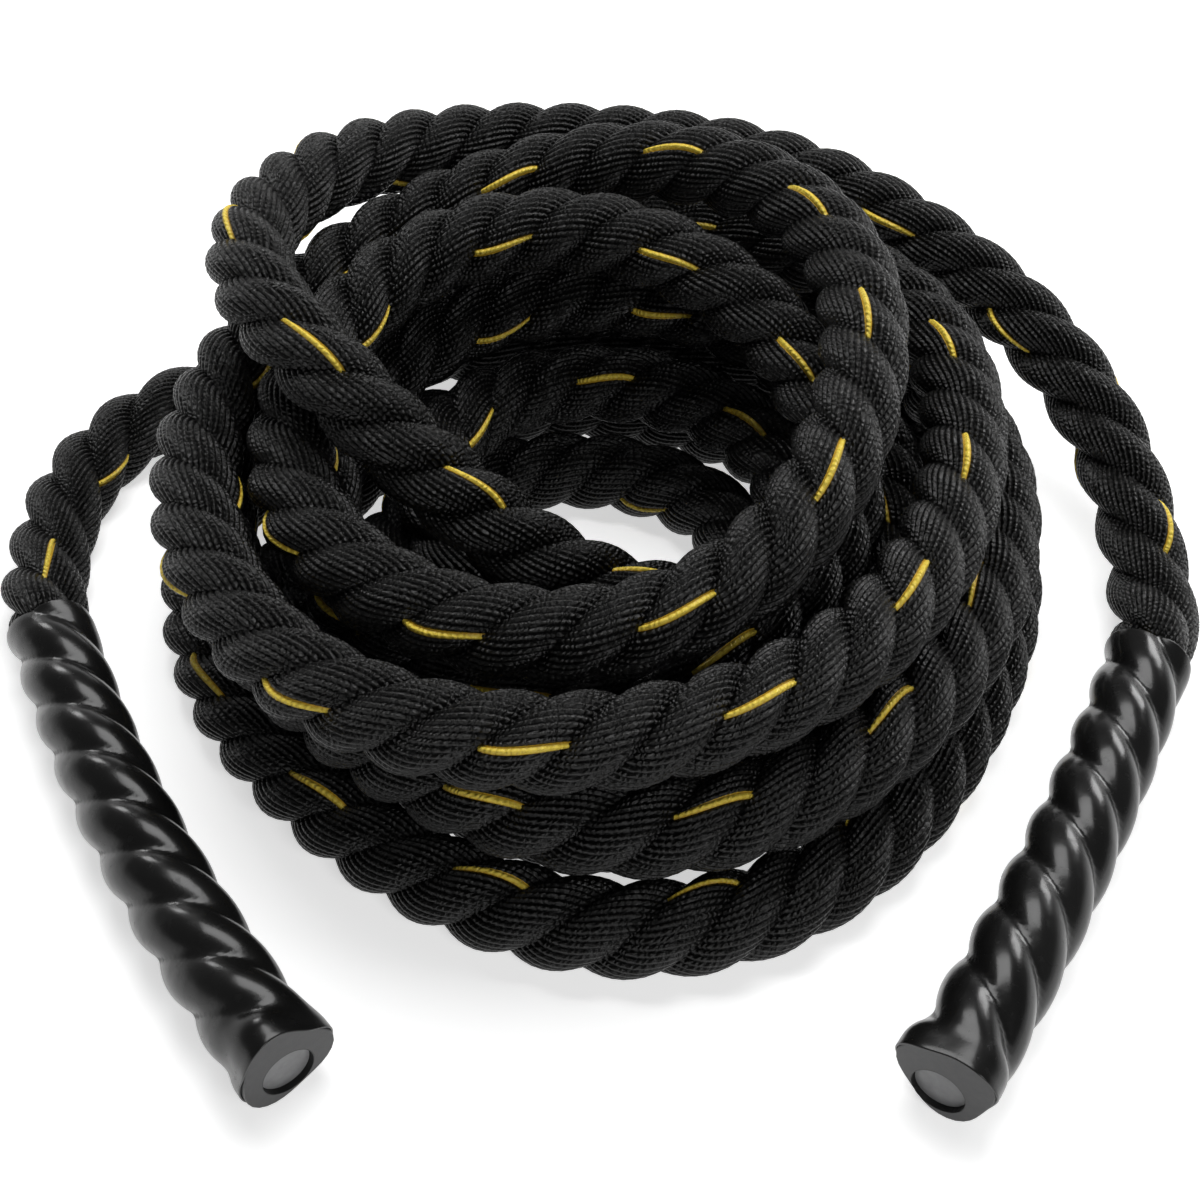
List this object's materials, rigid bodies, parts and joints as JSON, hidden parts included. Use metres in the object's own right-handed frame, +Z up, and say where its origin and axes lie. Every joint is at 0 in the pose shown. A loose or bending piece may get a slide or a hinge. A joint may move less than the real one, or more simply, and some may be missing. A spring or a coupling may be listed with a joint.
{
  "type": "battle rope",
  "caption": "Thick twisted training rope lying in a loose round pile, with a glossy bound grip and an end cap on each end.",
  "frame": {"origin": "on the floor, under the middle of the whole object's box", "axes": "+Z up, +X towards the right grip and -Y towards the two grips' end caps, as seen in the picture"},
  "size_m": [0.5428, 0.4932, 0.1684],
  "materials": {
    "rope": "matte laid fibre with thin gold tracer yarns",
    "sleeve": "glossy shrunk sleeve",
    "cap": "satin",
    "disc": "satin",
    "whipping": "matte cloth tape"
  },
  "bodies": {
    "root": {"rope_coil": "rope", "left_rope_lead": "rope", "right_rope_lead": "rope", "left_rope_end": "rope", "right_rope_end": "rope", "left_end_whipping": "whipping", "right_end_whipping": "whipping", "left_grip_sleeve": "sleeve", "right_grip_sleeve": "sleeve", "left_end_cap": "cap", "right_end_cap": "cap", "left_cap_disc": "disc", "right_cap_disc": "disc"}
  },
  "joints": []
}
